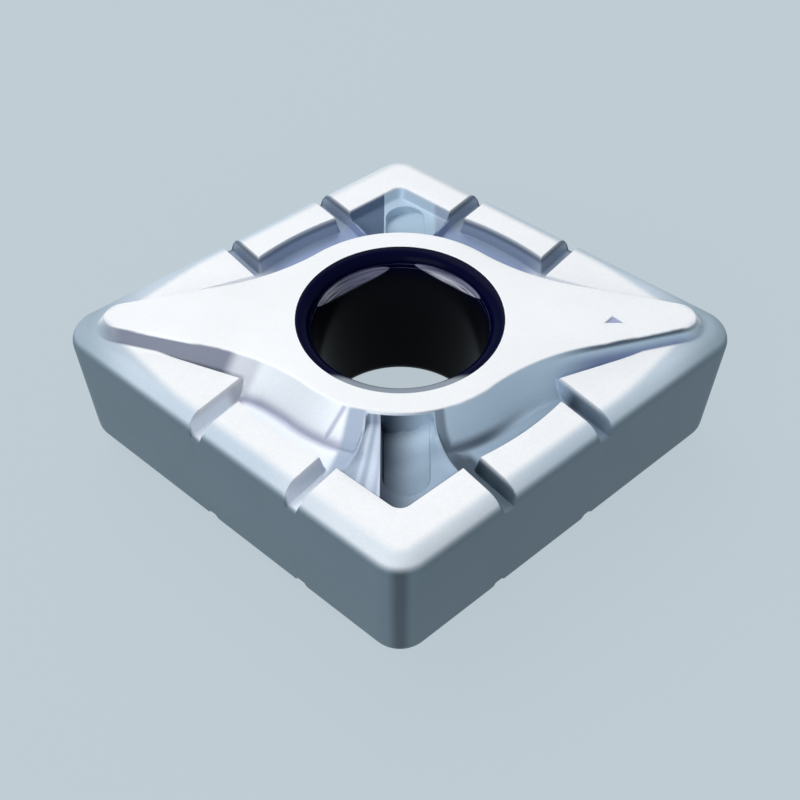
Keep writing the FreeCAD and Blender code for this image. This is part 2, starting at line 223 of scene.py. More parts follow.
class StudioSetup(bpy.types.PropertyGroup):
    """Camera, floor and light."""

    view_elevation: angle("Elevation", 48.7, "Of the camera's line of sight above the floor")
    view_distance: length("Distance", 35.52, "From the camera to the plateau's middle")
    view_rise: length("Rise", 2.976, "Of the plateau's middle above the picture's middle")
    focal_ratio: level("Focal Ratio", 1.269, "Focal length over the sensor's width")
    floor_colour: colour("Floor", (0.525, 0.605, 0.655), "Plain pale floor and backdrop")
    floor_glow: share("Floor Glow", 0.9, "How much of the floor is seen without its shadows")
    sky_colour: colour("Sky", (0.9, 0.94, 1.0), "Soft light from all round")
    sky_bright: level("Sky Left", 1.0, "Its level on the left")
    sky_dim: level("Sky Right", 0.38, "Its level on the right")
    overhead: level("Overhead", 2.0, "Level of the lamp above the back left")
    left_front: level("Left Front", 2.12, "Level of the lamp at the front left")


# Plan: the outlines of one quarter, x to the right and y away, from the bore's axis

def from_edge(along, inward):
    """A point by its distance along the front right edge from the blunt corner, and in from it."""
    return along * COSINE - inward * SINE, along * SINE + inward * COSINE - BLUNT


def arc_points(start, end, radius, turns_left):
    """Points of the shorter arc of a radius between two points, without the first."""
    chord = end - start
    side = Vector((-chord.y, chord.x)).normalized() * (1 if turns_left else -1)
    centre = start + chord / 2 + side * math.sqrt(radius ** 2 - chord.length_squared / 4)
    spoke = start - centre
    turn = 2 * math.asin(chord.length / 2 / radius) * (1 if turns_left else -1)
    count = max(3, math.ceil(abs(turn) * radius / ALONG))
    made = []
    for step in range(1, count + 1):
        part = turn * step / count
        made.append(centre + Vector((
            spoke.x * math.cos(part) - spoke.y * math.sin(part),
            spoke.x * math.sin(part) + spoke.y * math.cos(part),
        )))
    return made


def walk(start, *legs):
    """Points along a path. A leg is an end point, which a radius and its turn make an arc."""
    path = [Vector(start)]
    for leg in legs:
        end = Vector(leg[0])
        if len(leg) > 1:
            path.extend(arc_points(path[-1], end, *leg[1:]))
        else:
            run = end - path[-1]
            count = max(1, math.ceil(run.length / ALONG))
            path.extend([path[-1] + run * step / count for step in range(1, count + 1)])
    return np.array([tuple(point) for point in path])


def rim_path():
    """The insert's own outline."""
    return walk(
        (SHARP - NOSE_RADIUS / SINE + NOSE_RADIUS, 0),
        ((SHARP - NOSE_RADIUS * COSINE ** 2 / SINE, -NOSE_RADIUS * COSINE), NOSE_RADIUS, False),
        ((NOSE_RADIUS * SINE, NOSE_RADIUS * SINE ** 2 / COSINE - BLUNT),),
        ((0, NOSE_RADIUS / COSINE - NOSE_RADIUS - BLUNT), NOSE_RADIUS, False),
    )


def tip_centre(sizes):
    """How far along the long diagonal a tongue's round end is centred."""
    return SHARP - (sizes.tongue_tip + sizes.runout + sizes.tongue_wall) / SINE


def tip_side(sizes):
    """Where a tongue's round end meets its straight side."""
    return (
        tip_centre(sizes) + sizes.tongue_tip * math.sin(sizes.tongue_angle),
        -sizes.tongue_tip * math.cos(sizes.tongue_angle),
    )


def plateau_path(sizes):
    """The eye: a tongue's end, its side, the hollow curve and the ring."""
    cosine, sine = math.cos(sizes.tongue_angle), math.sin(sizes.tongue_angle)
    offset = tip_centre(sizes) * sine + sizes.tongue_tip
    centres = sizes.ring_radius + sizes.tongue_blend
    reach = math.sqrt(centres ** 2 - (offset + sizes.tongue_blend) ** 2)
    blend_start = (offset * sine + reach * cosine, reach * sine - offset * cosine)
    beyond = offset + sizes.tongue_blend
    ratio = sizes.ring_radius / centres
    ring_start = (
        (beyond * sine + reach * cosine) * ratio,
        (reach * sine - beyond * cosine) * ratio,
    )
    return walk(
        (tip_centre(sizes) + sizes.tongue_tip, 0),
        (tip_side(sizes), sizes.tongue_tip, False),
        (blend_start,),
        (ring_start, sizes.tongue_blend, True),
        ((0, -sizes.ring_radius), sizes.ring_radius, False),
    )


def notches(sizes):
    """How far along the edge the inner and the outer notch lie."""
    middle = HALF_SIDE - sizes.notch_shift
    return middle - sizes.notch_spacing / 2, middle + sizes.notch_spacing / 2


def pocket_path(sizes):
    """The shallow pocket from a tongue's tip to the inside of the blunt corner."""
    inner, outer = notches(sizes)
    flare = sizes.tongue_angle + sizes.groove_flare
    room = sizes.tongue_tip + sizes.groove_start
    start = (tip_centre(sizes) + room * math.sin(flare), -room * math.cos(flare))
    along = start[0] * COSINE + (start[1] + BLUNT) * SINE
    run = (along - outer) / math.cos(HALF_CORNER - flare)
    apex_centre = BLUNT - (sizes.corner_land + sizes.pocket_apex) / COSINE
    apex = sizes.pocket_apex
    return walk(
        (start[0], 0),
        (start,),
        ((start[0] - run * math.cos(flare), start[1] - run * math.sin(flare)),),
        (from_edge(inner, sizes.corner_land),),
        ((apex * SINE, -apex_centre - apex * COSINE),),
        ((0, -apex_centre - apex), apex, False),
    )


def ring_foot(sizes):
    """Radius at which the corner pocket and its channel stop before the ring."""
    return sizes.ring_radius + sizes.channel_start


def throat_corner(sizes):
    """Where a side of the corner pocket meets the ring."""
    half = sizes.throat_width / 2
    return half, -math.sqrt(ring_foot(sizes) ** 2 - half ** 2)


def throat_path(sizes):
    """What bounds the corner pocket: a notch's wall, the curve to the ring, and the ring."""
    inner = notches(sizes)[0] - sizes.notch_width / 2
    outside = from_edge(inner, -sizes.shoulder)
    return walk(
        (SHARP, outside[1]),
        (outside,),
        (from_edge(inner, sizes.corner_land),),
        (throat_corner(sizes), sizes.throat_sweep, False),
        ((0, -ring_foot(sizes)), ring_foot(sizes), False),
    )


def groove_path(sizes):
    """Two notches, and the groove that joins them behind the middle land."""
    past = sizes.shoulder
    half = sizes.notch_width / 2
    inner, outer = notches(sizes)
    chord = sizes.notch_spacing - sizes.notch_width
    hollow = chord ** 2 / 8 / sizes.land_hollow + sizes.land_hollow / 2
    return walk(
        from_edge(inner - half, -past),
        (from_edge(inner - half, sizes.corner_land),),
        (throat_corner(sizes), sizes.throat_sweep, False),
        (from_edge(outer + half, sizes.corner_land + sizes.runout),),
        (from_edge(outer + half, -past),),
        (from_edge(outer - half, -past),),
        (from_edge(outer - half, sizes.middle_land),),
        (from_edge(inner + half, sizes.middle_land), hollow, False),
        (from_edge(inner + half, -past),),
        (from_edge(inner - half, -past),),
    )


def channel_path(sizes):
    """The radial channel, with a round end in the blunt corner."""
    half = sizes.channel_width / 2
    middle = sizes.channel_shift
    left, right = middle - half, middle + half
    ring = ring_foot(sizes)
    end = (
        BLUNT - middle * math.tan(HALF_CORNER)
        - (sizes.corner_land + sizes.channel_clearance + half) / COSINE
    )
    left_mouth = (left, -math.sqrt(ring ** 2 - left ** 2))
    right_mouth = (right, -math.sqrt(ring ** 2 - right ** 2))
    return walk(
        right_mouth,
        ((right, -end),),
        ((middle, -end - half), half, False),
        ((left, -end), half, False),
        (left_mouth,),
        ((0, -ring), ring, True),
        (right_mouth, ring, True),
    )


def bore_path():
    """The bore."""
    return walk((BORE_RADIUS, 0), ((0, -BORE_RADIUS), BORE_RADIUS, False))


def mark_path(sizes):
    """The three-sided mark on the right tongue."""
    left = (sizes.mark_place - sizes.mark_width / 2, -sizes.mark_height)
    right = (sizes.mark_place + sizes.mark_width / 2, -sizes.mark_height)
    return walk(left, (right,), ((sizes.mark_place, 0),), (left,))


# Distances from the outlines

def distances(path, places):
    """Shortest distance from each place to a path."""
    start, run = path[:-1], path[1:] - path[:-1]
    square = (run ** 2).sum(1)
    found = []
    for block in np.array_split(places, max(1, len(places) // AT_ONCE)):
        gap = block[:, None] - start
        along = np.clip((gap * run).sum(2) / square, 0, 1)
        found.append(np.sqrt(((gap - along[..., None] * run) ** 2).sum(2).min(1)))
    return np.concatenate(found)


def inside(loop, places):
    """Whether each place lies inside a closed loop."""
    start, end = loop, np.roll(loop, -1, 0)
    odd = np.zeros(len(places), bool)
    for (x0, y0), (x1, y1) in zip(start, end):
        if y0 != y1:
            crossed = (y0 > places[:, 1]) != (y1 > places[:, 1])
            odd ^= crossed & (places[:, 0] < x0 + (places[:, 1] - y0) * (x1 - x0) / (y1 - y0))
    return odd


class Outline:
    """A path on the plan, with the distance inwards from it."""

    def __init__(self, path, both_sides=True):
        self.path = path
        self.both_sides = both_sides
        self.open = not np.allclose(path[0], path[-1])
        corner = [(-FAR, path[-1][1]), (-FAR, FAR), (path[0][0], FAR)]
        self.loop = np.vstack([path, corner]) if self.open else path[:-1]

    def inward(self, places):
        """Signed distance of each place, positive inside."""
        if self.both_sides:
            places = np.abs(places) * (1, -1)
        away = distances(self.path, places)
        return np.where(inside(self.loop, places), away, -away)

    def beside(self, offset):
        """Runs of points that follow the path at a distance inwards."""
        run = self.path[1:] - self.path[:-1]
        run /= np.linalg.norm(run, axis=1)[:, None]
        left = np.stack([-run[:, 1], run[:, 0]], 1)
        probe = (self.path[:1] + self.path[1:2]) / 2 + left[:1] * TINY * 10
        if self.inward(probe)[0] < 0:
            left = -left
        befores, afters = np.vstack([left[:1], left]), np.vstack([left, left[-1:]])
        if self.open:
            befores[0] = afters[0] = (-1, 0)
            befores[-1] = afters[-1] = (0, 1)
        spots = []
        for point, before, after in zip(self.path, befores, afters):
            turn = math.acos(max(-1, min(1, float(before @ after))))
            steps = math.ceil(turn / FAN_STEP)
            parts = [step / steps for step in range(steps + 1)] if steps > 1 else [0.5]
            for part in parts:
                mixed = before * (1 - part) + after * part
                spots.append(point + offset * mixed / np.linalg.norm(mixed))
        spots = np.array(spots)
        good = np.abs(self.inward(spots) - offset) < abs(offset) * 0.03 + TINY
        if self.both_sides:
            good &= (spots[:, 0] > -TINY) & (spots[:, 1] < TINY)
        spots = spots[good]
        linked = np.linalg.norm(spots[1:] - spots[:-1], axis=1) < ALONG * 2.5
        return [part for part in np.split(spots, np.nonzero(~linked)[0] + 1) if len(part) > 1]


def rounded(radius):
    """Offsets that divide a rounded edge evenly along its curve."""
    turns = [math.pi / 2 * row / SHOULDER_ROWS for row in range(SHOULDER_ROWS + 1)]
    return [radius * (1 - math.cos(turn)) for turn in turns]


def walls(top, foot, blend):
    """Offsets across a wall whose edge and foot are blended."""
    return [top - blend, top - blend / 3, top + blend / 3, top + blend, (top + foot) / 2,
            foot - blend, foot - blend / 3, foot + blend / 3, foot + blend, foot + 2.5 * blend]


def draw_plan(sizes):
    """A flat triangle mesh of the front half of a face, with its distances as attributes."""
    outlines = {
        "rim": Outline(rim_path()),
        "plateau": Outline(plateau_path(sizes)),
        "pocket": Outline(pocket_path(sizes)),
        "groove": Outline(groove_path(sizes)),
        "throat": Outline(throat_path(sizes)),
        "channel": Outline(channel_path(sizes), both_sides=False),
        "bore": Outline(bore_path()),
        "mark": Outline(mark_path(sizes), both_sides=False),
    }
    groove_foot = (sizes.groove_depth - sizes.rim_drop) * math.tan(sizes.groove_draft)
    pocket_foot = (sizes.pocket_depth - sizes.rim_drop) * math.tan(sizes.pocket_draft)
    fall = sizes.runout / sizes.groove_depth
    plateau_rows = [FINE * 1.5, FINE / 2, -FINE / 2, -FINE * 1.5]
    for depth in (sizes.rim_drop, sizes.pocket_depth, sizes.groove_depth):
        plateau_rows += [step * FINE - depth * fall for step in (-2, 0, 2)]
    rows = {
        "rim": rounded(sizes.shoulder) + [sizes.shoulder + FINE],
        "bore": [-offset for offset in rounded(BORE_ROUNDING)] + [-BORE_ROUNDING - FINE],
        "groove": walls(0, groove_foot, 0.02 * MM),
        "pocket": walls(0, pocket_foot, FINE),
        "plateau": plateau_rows + [-0.2 * MM, -0.55 * MM],
        "throat": [-offset for offset in walls(0, 0.04 * MM, 0.012 * MM)],
        "channel": walls(0, 0.1 * MM, 0.02 * MM) + [step * 0.15 * MM for step in range(2, 6)],
        "mark": [0, 0.02 * MM, 0.05 * MM],
    }
    points, edges = [], []

    def add(run):
        first = len(points)
        points.extend(run)
        edges.extend((first + step, first + step + 1) for step in range(len(run) - 1))

    for name, offsets in rows.items():
        for offset in offsets:
            for run in outlines[name].beside(offset):
                add(run)
                if outlines[name].both_sides:
                    add(run * (-1, 1))
    tip = outlines["rim"].path[0][0]
    axis = np.append(np.arange(BORE_RADIUS, tip, FILL), tip)
    for side in (-1, 1):
        add(np.stack([side * axis, 0 * axis], 1))
    grid_rows = np.arange(-BLUNT, 0, FILL * math.sqrt(3) / 2)
    fill = np.array([
        (across + (row % 2) * FILL / 2, back)
        for row, back in enumerate(grid_rows)
        for across in np.arange(-SHARP, SHARP, FILL)
    ])
    clear = (outlines["rim"].inward(fill) > FILL / 2) & (outlines["bore"].inward(fill) < -FILL / 2)
    cell = FILL / 2
    taken = {(round(x / cell), round(y / cell)) for x, y in points}
    around = [(i, j) for i in (-1, 0, 1) for j in (-1, 0, 1)]
    for number, (x, y) in enumerate(fill):
        column, row = round(x / cell), round(y / cell)
        if any((column + i, row + j) in taken for i, j in around):
            clear[number] = False
    clear &= fill[:, 1] < -cell
    points.extend(fill[clear])
    scaled = [Vector((x / MM, y / MM)) for x, y in points]
    verts, _, faces, *_ = delaunay_2d_cdt(scaled, edges, [], 0, 1e-5)
    flat = np.array([tuple(vert) for vert in verts]) * MM
    faces = np.array([face for face in faces if len(face) == 3])
    middles = flat[faces].mean(1)
    kept = (
        (outlines["rim"].inward(middles) > 0)
        & (outlines["bore"].inward(middles) < 0)
        & (middles[:, 1] < 0)
    )
    faces = faces[kept]
    used, faces = np.unique(faces, return_inverse=True)
    flat, faces = flat[used], faces.reshape(-1, 3)
    mesh = bpy.data.meshes.new("face_plan")
    mesh.from_pydata([(x, y, 0) for x, y in flat], [], faces.tolist())
    fields = {name: outline.inward(flat) for name, outline in outlines.items()}
    for name in ("plateau", "bore", "throat"):
        fields[name] *= -1
    fields["across"] = flat[:, 0] - sizes.channel_shift
    for name, field in fields.items():
        attribute = mesh.attributes.new(name, "FLOAT", "POINT")
        attribute.data.foreach_set("value", field.astype(np.float32))
    return mesh


# Nodes

class Term:
    """A number in a node tree, so that formulas are written with the usual signs."""

    def __init__(self, socket):
        self.socket = socket

    def __add__(self, other):
        return calculate("ADD", self, other)

    def __sub__(self, other):
        return calculate("SUBTRACT", self, other)

    def __rsub__(self, other):
        return calculate("SUBTRACT", other, self)

    def __mul__(self, other):
        return calculate("MULTIPLY", self, other)

    def __truediv__(self, other):
        return calculate("DIVIDE", self, other)

    def __abs__(self):
        return calculate("ABSOLUTE", self)


def put(tree, kind, values=None, **settings):
    """Adds a node, sets it up, and joins or fills its inputs."""
    node = tree.nodes.new(kind)
    for name, setting in settings.items():
        setattr(node, name, setting)
    for key, value in (values or {}).items():
        if isinstance(value, Term):
            value = value.socket
        if isinstance(value, bpy.types.NodeSocket):
            tree.links.new(value, node.inputs[key])
        else:
            node.inputs[key].default_value = value
    return node


def calculate(operation, *values):
    """What a Math node makes of numbers, one of which is a term at least."""
    tree = next(value.socket.id_data for value in values if isinstance(value, Term))
    node = put(tree, "ShaderNodeMath", dict(enumerate(values)), operation=operation)
    return Term(node.outputs[0])


def least(first, second):
    """The smaller of two numbers."""
    return calculate("MINIMUM", first, second)


def most(first, second):
    """The larger of two numbers."""
    return calculate("MAXIMUM", first, second)


def add_sockets(tree, direction, kind, *names):
    """Gives a group its named inputs or outputs."""
    for name in names:
        tree.interface.new_socket(name, in_out=direction, socket_type="NodeSocket" + kind)


def rounding_depth(distance, radius):
    """How far a rounded edge has dropped at a distance in from where it turns upright."""
    lean = radius - least(distance, radius)
    return radius - calculate("SQRT", most(radius * radius - lean * lean, 0.0))


MOULD_INPUTS = (
    "rim_drop", "shoulder", "runout", "groove_depth", "groove_draft", "pocket_depth",
    "pocket_draft", "throat_step", "throat_fall", "throat_reach", "channel_width",
    "channel_depth", "channel_bow", "channel_lean", "mark_depth", "hone", "root",
)
SET_INPUTS = {"thickness": THICKNESS, "bore_rounding": BORE_ROUNDING}


def moulding_tree():
    """Nodes that press the flat plan into a face, give it flanks and a bore, and mirror it."""
    tree = bpy.data.node_groups.new("moulded_insert", "GeometryNodeTree")
    add_sockets(tree, "INPUT", "Geometry", "Geometry")
    add_sockets(tree, "INPUT", "Float", *MOULD_INPUTS, *SET_INPUTS)
    add_sockets(tree, "INPUT", "Material", "face_material", "bore_material")
    add_sockets(tree, "OUTPUT", "Geometry", "Geometry")
    given = put(tree, "NodeGroupInput").outputs
    size = {name: Term(given[name]) for name in (*MOULD_INPUTS, *SET_INPUTS)}

    def step(kind, values=None, **settings):
        return put(tree, kind, values, **settings).outputs[0]

    def field(name):
        return Term(step("GeometryNodeInputNamedAttribute", {"Name": name}, data_type="FLOAT"))

    def up(distance):
        return step("ShaderNodeCombineXYZ", {"Z": distance})

    def under(value, limit):
        return step("FunctionNodeCompare", {0: value, 1: limit},
                    data_type="FLOAT", operation="LESS_THAN")

    def deeper(first, second):
        return calculate("SMOOTH_MAX", first, second, size["hone"])

    def shallower(first, second):
        return calculate("SMOOTH_MIN", first, second, size["root"])

    def drafted_recess(name, draft, floor):
        return shallower(size["rim_drop"] + field(name) / calculate("TANGENT", draft), floor)

    def upright_recess(name, floor):
        return calculate("SMOOTH_MIN", floor, field(name) * UPRIGHT, size["hone"])

    position = step("GeometryNodeInputPosition")
    place = put(tree, "ShaderNodeSeparateXYZ", {0: position}).outputs
    level = Term(place["Z"])

    # How deep each point of the face lies below the plateau
    past_reach = most(abs(Term(place["X"])) - size["throat_reach"], 0.0) * REACH_END
    sunk = size["throat_step"] + field("plateau") * size["throat_fall"] + past_reach
    floor = shallower(size["pocket_depth"], sunk)
    pocket = drafted_recess("pocket", size["pocket_draft"], floor)
    groove = drafted_recess("groove", size["groove_draft"], size["groove_depth"])
    rim_top = size["rim_drop"] + rounding_depth(field("rim"), size["shoulder"])
    slope = deeper(field("plateau") * (size["groove_depth"] / size["runout"]), 0.0)
    face = shallower(slope, deeper(deeper(rim_top, pocket), groove))
    from_lowest = field("across") / (size["channel_width"] / 2.0) + size["channel_lean"]
    bow = size["channel_bow"] * (from_lowest * from_lowest)
    trough = floor + (size["channel_depth"] - size["pocket_depth"] - bow)
    face = deeper(face, upright_recess("throat", pocket))
    face = deeper(face, upright_recess("channel", trough))
    face = most(face, rounding_depth(field("bore"), size["bore_rounding"]))
    middle = size["thickness"] / 2.0
    raised = step("GeometryNodeSetPosition",
                  {"Geometry": given["Geometry"], "Offset": up(middle - face)})

    # Flanks and bore: the turned-over borders are drawn out to the middle plane
    neighbours = step("GeometryNodeInputMeshEdgeNeighbors")
    border = step("FunctionNodeCompare", {2: neighbours, 3: 1}, data_type="INT", operation="EQUAL")
    turned = under(least(field("rim"), field("bore")), TINY * 5)
    walled = step("GeometryNodeExtrudeMesh", {
        "Mesh": raised,
        "Selection": step("FunctionNodeBooleanMath", {0: border, 1: turned}, operation="AND"),
        "Offset": up(level * -1.0),
    }, mode="EDGES")
    levelled = step("GeometryNodeSetPosition", {
        "Geometry": walled,
        "Selection": under(level, middle / 4.0),
        "Position": step("ShaderNodeVectorMath", {0: position, 1: (1, 1, 0)}, operation="MULTIPLY"),
    })

    # The mark, on the upper face alone
    dimple = calculate("SMOOTH_MIN", field("mark") * MARK_SIDE, size["mark_depth"],
                       size["mark_depth"] / 2.0)
    dimple = most(dimple, 0.0)
    marked = step("GeometryNodeSetPosition", {"Geometry": levelled, "Offset": up(dimple * -1.0)})
    marked = step("GeometryNodeStoreNamedAttribute", {
        "Geometry": marked, "Name": "marked", "Value": dimple / size["mark_depth"],
    }, data_type="FLOAT", domain="POINT")

    def mirrored(geometry, scale):
        turned_over = step("GeometryNodeTransform", {"Geometry": geometry, "Scale": scale})
        return step("GeometryNodeFlipFaces", {0: turned_over})

    def joined(*parts):
        node = put(tree, "GeometryNodeJoinGeometry")
        for part in parts:
            tree.links.new(part, node.inputs[0])
        return node.outputs[0]

    # The back half and the underside
    back = mirrored(levelled, (1, -1, 1))
    lower = mirrored(joined(levelled, back), (1, 1, -1))
    whole = joined(joined(marked, back), lower)
    for kind, values in (
        ("GeometryNodeMergeByDistance", {"Distance": TINY}),
        ("GeometryNodeTransform", {"Translation": up(middle)}),
        ("GeometryNodeSetShadeSmooth", {}),
        ("GeometryNodeRealizeInstances", {}),
        ("GeometryNodeSetMaterial", {"Material": given["face_material"]}),
        ("GeometryNodeSetMaterial", {"Material": given["bore_material"],
                                     "Selection": under(field("bore"), size["bore_rounding"])}),
    ):
        whole = step(kind, {"Geometry": whole, **values})
    put(tree, "NodeGroupOutput", {"Geometry": whole})
    return tree


# Finish

def grain_group():
    """Shader nodes for the skin of sintered metal: cloudy tone, drawn lines and fine grain."""
    made = bpy.data.node_groups.get("sinter_grain")
    if made:
        return made
    tree = bpy.data.node_groups.new("sinter_grain", "ShaderNodeTree")
    add_sockets(tree, "INPUT", "Vector", "Stretch")
    add_sockets(tree, "OUTPUT", "Float", "Cloud", "Lines", "Grain")
    stretch = put(tree, "NodeGroupInput").outputs["Stretch"]
    place = put(tree, "ShaderNodeTexCoord").outputs["Object"]
    along = put(tree, "ShaderNodeVectorMath", {0: place, 1: stretch}, operation="MULTIPLY")

    def noise(where, scale, detail):
        values = {"Vector": where, "Scale": scale, "Detail": detail}
        return put(tree, "ShaderNodeTexNoise", values).outputs[0]

    put(tree, "NodeGroupOutput", {
        "Cloud": noise(place, 420.0, 3.0),
        "Lines": noise(along.outputs[0], 1.0, 2.0),
        "Grain": noise(place, 14000.0, 2.0),
    })
    return tree


def emptied(owner):
    """The node tree of a new material or world, without the nodes that it starts with."""
    owner.use_nodes = True
    owner.node_tree.nodes.clear()
    return owner.node_tree


class Blend:
    """A material's tree, with its places and with helpers that mix masks and colours."""

    def __init__(self, material):
        self.tree = emptied(material)
        place = put(self.tree, "ShaderNodeTexCoord").outputs["Object"]
        parts = put(self.tree, "ShaderNodeSeparateXYZ", {0: place}).outputs
        self.x, self.y, self.z = (Term(part) for part in parts)

    def field(self, name):
        """A number that the mesh carries."""
        return Term(put(self.tree, "ShaderNodeAttribute", attribute_name=name).outputs["Fac"])

    def ramp(self, value, start, end):
        """From 0 at start to 1 at end, eased."""
        values = {0: value, 1: start, 2: end, 3: 0.0, 4: 1.0}
        node = put(self.tree, "ShaderNodeMapRange", values, interpolation_type="SMOOTHSTEP")
        return Term(node.outputs[0])

    def fade(self, value, start, end):
        """The same between two lengths in millimetres."""
        return self.ramp(value, start * MM, end * MM)

    def number(self, factor, first, second):
        """A number between two."""
        values = {0: factor, 2: first, 3: second}
        return Term(put(self.tree, "ShaderNodeMix", values, data_type="FLOAT").outputs[0])

    def colour(self, factor, first, second):
        """A colour between two."""
        ends = [end if isinstance(end, bpy.types.NodeSocket) else (*end, 1)
                for end in (first, second)]
        values = {0: factor, 6: ends[0], 7: ends[1]}
        return put(self.tree, "ShaderNodeMix", values, data_type="RGBA").outputs[2]

    def skin(self, stretch):
        """The cloud, lines and grain of the metal, with its lines stretched as asked."""
        grain = put(self.tree, "ShaderNodeGroup", node_tree=grain_group())
        grain.inputs["Stretch"].default_value = stretch
        return {output.name: Term(output) for output in grain.outputs}

    def finish(self, base, metal, rough, height, depth, gloss=0.5):
        """The shader at the end."""
        bump = put(self.tree, "ShaderNodeBump",
                   {"Height": height, "Strength": 1.0, "Distance": depth})
        shader = put(self.tree, "ShaderNodeBsdfPrincipled", {
            "Base Color": base, "Metallic": metal, "Roughness": rough,
            "Normal": bump.outputs[0], "Specular IOR Level": gloss,
        })
        put(self.tree, "ShaderNodeOutputMaterial", {"Surface": shader.outputs[0]})


def face_material(finish, sizes):
    """Pale lands, bluish grooves, dark notches and flanks, told apart by the plan's distances;
    painted shade darkens the right and far sides, the creases, notches, wedges, shoulders and
    flanks.
    """
    material = bpy.data.materials.new("sintered_carbide")
    nodes = Blend(material)
    colour, number, ramp, fade = nodes.colour, nodes.number, nodes.ramp, nodes.fade
    plateau, rim, groove, throat, across = map(
        nodes.field, ("plateau", "rim", "groove", "throat", "across"))
    skin = nodes.skin((900.0, 900.0, 26000.0))
    aside = abs(nodes.x)
    # Masks for painted shade: the right side is a darker copy of the left, the far side a bluer,
    # darker copy of the near side
    right = fade(nodes.x, -2.0, 2.0)
    back = fade(nodes.y, -0.4, 0.4)

    # Where the face is pressed below the lands
    slope_foot = sizes.rim_drop * sizes.runout / sizes.groove_depth
    recess = most(nodes.field("channel"), most(nodes.field("pocket"), groove))
    recess = most(recess, slope_foot - plateau)
    cut = fade(least(plateau, recess), -0.02, 0.05) * fade(aside, 10.8, 9.6)

    # Grooves: painted shade makes the right side a darker copy of the left, darker still on the
    # sunken floor behind the middle land, and darkens the wedges beside the tongues
    slanted = aside - plateau * 0.7
    left_wedge = fade(slanted, 4.45, 4.8) * 0.35 + fade(slanted, 5.3, 5.8) * 0.65
    right_wedge = fade(aside, 4.6, 7.0) * fade(plateau, 0.1, 0.38)
    past_foot = plateau - sizes.runout
    lit_left_grooves = colour(left_wedge, finish.groove_colour, finish.wedge_painted_shade_left)
    shaded_right_grooves = colour(right_wedge, finish.groove_painted_shade, finish.wedge_painted_shade_right)
    shaded_right_grooves = colour(fade(past_foot, -0.1, 0.2), shaded_right_grooves, finish.throat_painted_shade)
    base = colour(right, lit_left_grooves, shaded_right_grooves)

    # Creases: painted shade at the foot of the plateau's slope, beside the throat and under the
    # plateau's edge on the right, and along a facet line across the left slope where the shape has
    # no crease
    foot_line = fade(abs(past_foot), 0.26, 0.04) * fade(groove, 0.1, 0.3)
    foot_line = foot_line * number(right, 1.0, fade(aside, 4.4, 2.6))
    width = number(fade(rim, 3.4, 2.2), 0.42 * MM, 0.85 * MM)
    side_line = ramp(throat / width, -1.0, -0.6) * fade(throat, 0.0, -0.02)
    edge_line = fade(plateau, 0.17, 0.08) * fade(aside, 4.6, 7.0)
    facet = nodes.x - nodes.y * 1.15 - 3.02 * MM
    facet = fade(abs(facet), 0.2, 0.02) * fade(past_foot, 0.2, 0.0)
    lines = most(foot_line, number(right, facet, most(side_line, edge_line)))
    right_crease = colour(fade(rim, 3.3, 2.3), finish.crease_painted_shade, finish.trough_painted_shade)
    crease = colour(right, finish.left_crease_painted_shade, right_crease)
    base = colour(lines * 0.85, base, crease)

    # Notches: painted shade, the inner right one dark as far as its mouth, the outer one paler; the
    # left ones painted light
    in_groove = fade(groove, -0.01, 0.08)
    notch = in_groove * fade(rim, 2.1, 1.7)
    along = aside * COSINE + (nodes.y + BLUNT) * SINE
    from_inner = along - notches(sizes)[0]
    mouth = in_groove * (fade(abs(from_inner), 0.7, 0.4) * fade(rim, 2.8, 2.2))
    right_notch = colour(fade(from_inner, 2.0, 3.0) * 0.6, finish.notch_painted_shade, finish.throat_painted_shade)
    right_notch = colour(fade(rim, 1.2, 1.8) * 0.65, right_notch, finish.trough_painted_shade)
    base = colour(most(notch, mouth), base, colour(right, finish.notch_painted_light, right_notch))

    # The far side: painted shade, a bluer, darker copy of the near grooves and notches, with a
    # painted shadow line under the land's edge
    far_painted_shade = colour(fade(aside, 4.6, 5.4), finish.far_groove_painted_shade, finish.groove_colour)
    far_painted_shade = colour(notch, far_painted_shade, finish.far_notch_painted_shade)
    lip_shadow = fade(abs(groove), 0.08, 0.03) * fade(rim, 2.3, 2.1)
    base = colour(back, base, colour(lip_shadow, far_painted_shade, finish.crease_painted_shade))

    # Throat: streaks from pressing on the left of its channel's wall; painted light on that side
    # and painted shade on the other, darkest at the wall's foot, with painted shade in the far
    # throat
    fan = put(nodes.tree, "ShaderNodeCombineXYZ",
              {"X": calculate("ARCTAN2", nodes.x, nodes.y) * 9.0}).outputs[0]
    flow = put(nodes.tree, "ShaderNodeTexNoise", {"Vector": fan, "Scale": 2.2, "Detail": 1.0})
    flow = ramp(flow.outputs[0], 0.42, 0.56)
    left_floor = colour(flow, finish.throat_colour, finish.flow_lines_and_painted_shade)
    left_floor = colour(back, left_floor, finish.far_throat_painted_shade)
    right_floor = colour(fade(plateau, 1.2, 0.2), finish.throat_painted_shade, finish.groove_painted_shade)
    right_floor = colour(fade(across, 0.7, -0.8), right_floor, finish.trough_painted_shade)
    far_floor = colour(fade(across, 1.1, 1.3), finish.groove_painted_shade, finish.flow_lines_and_painted_shade)
    right_floor = colour(back, right_floor, far_floor)
    past_wall = fade(across + sizes.channel_width / 2, -0.02, 0.0)
    floor = colour(past_wall, left_floor, right_floor)
    base = colour(fade(throat, -0.01, 0.01), base, floor)
    # A painted shade line along the left side of the throat
    lean = calculate("ARCTAN2", nodes.x * -1.0, nodes.y * -1.0)
    painted_streak = (ramp(lean, math.radians(12.5), math.radians(15))
              * ramp(lean, math.radians(22.5), math.radians(20)))
    base = colour(painted_streak, base, finish.flow_lines_and_painted_shade)

